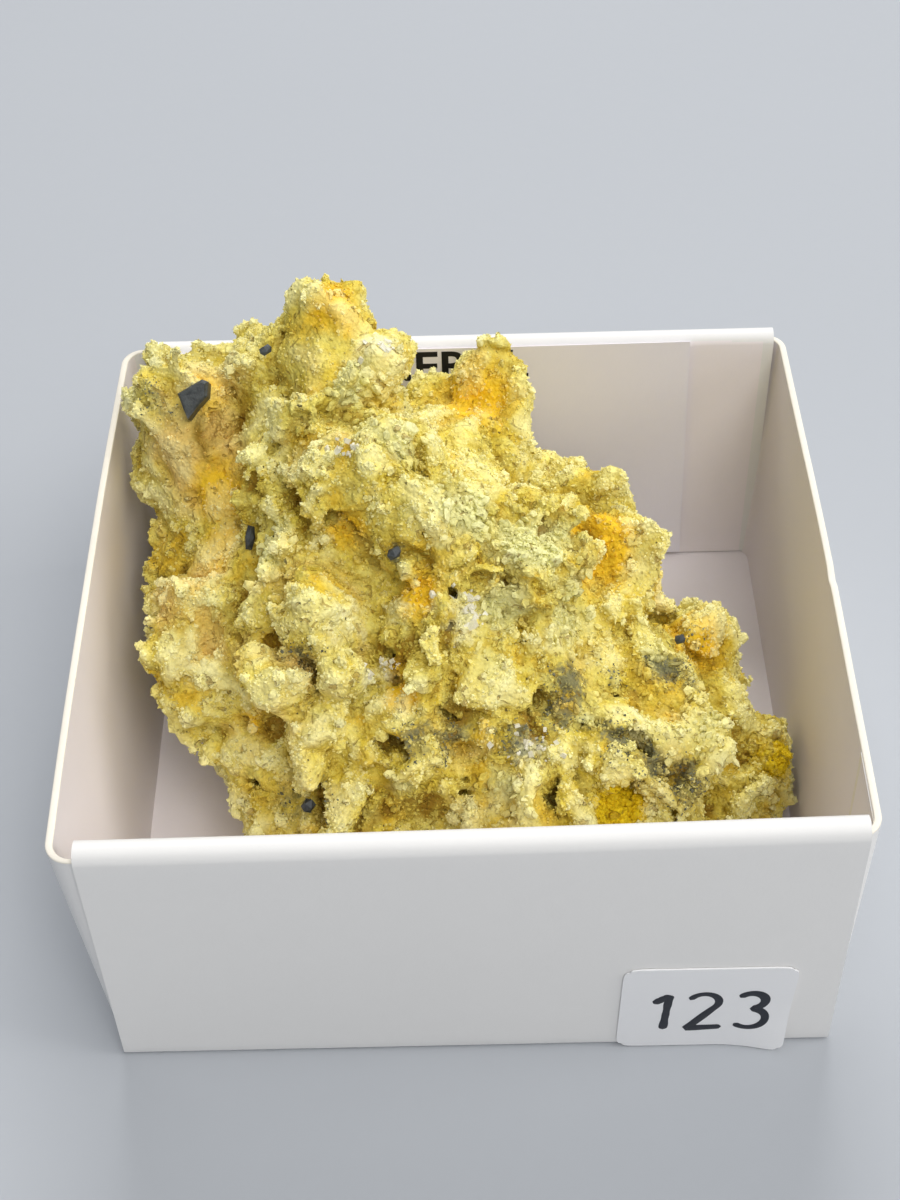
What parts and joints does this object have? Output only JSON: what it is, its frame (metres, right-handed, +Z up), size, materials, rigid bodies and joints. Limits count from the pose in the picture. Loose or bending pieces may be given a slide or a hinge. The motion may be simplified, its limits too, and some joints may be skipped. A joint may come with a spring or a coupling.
{
  "type": "bilinite specimen in a folded card tray",
  "caption": "Crumbly yellow sulphate mineral lump standing in an open square white card tray with a plain number sticker and a name slip behind it",
  "frame": {"origin": "middle of the tray's base, on the surface it stands on", "axes": "+Z up, +Y from the front panel to the back panel, +X to the right along the front panel"},
  "size_m": [0.0434, 0.0422, 0.0296],
  "materials": {
    "bilinite_crust": "granular, matt, sugary crust",
    "white_card": "smooth coated card, matt cut edges",
    "label_paper": "matt printed slip",
    "sticker_paper": "smooth self-adhesive paper"
  },
  "bodies": {
    "root": {"bilinite_lump": "bilinite_crust", "specimen_tray": "white_card", "name_label": "label_paper", "number_sticker": "sticker_paper"}
  },
  "joints": []
}
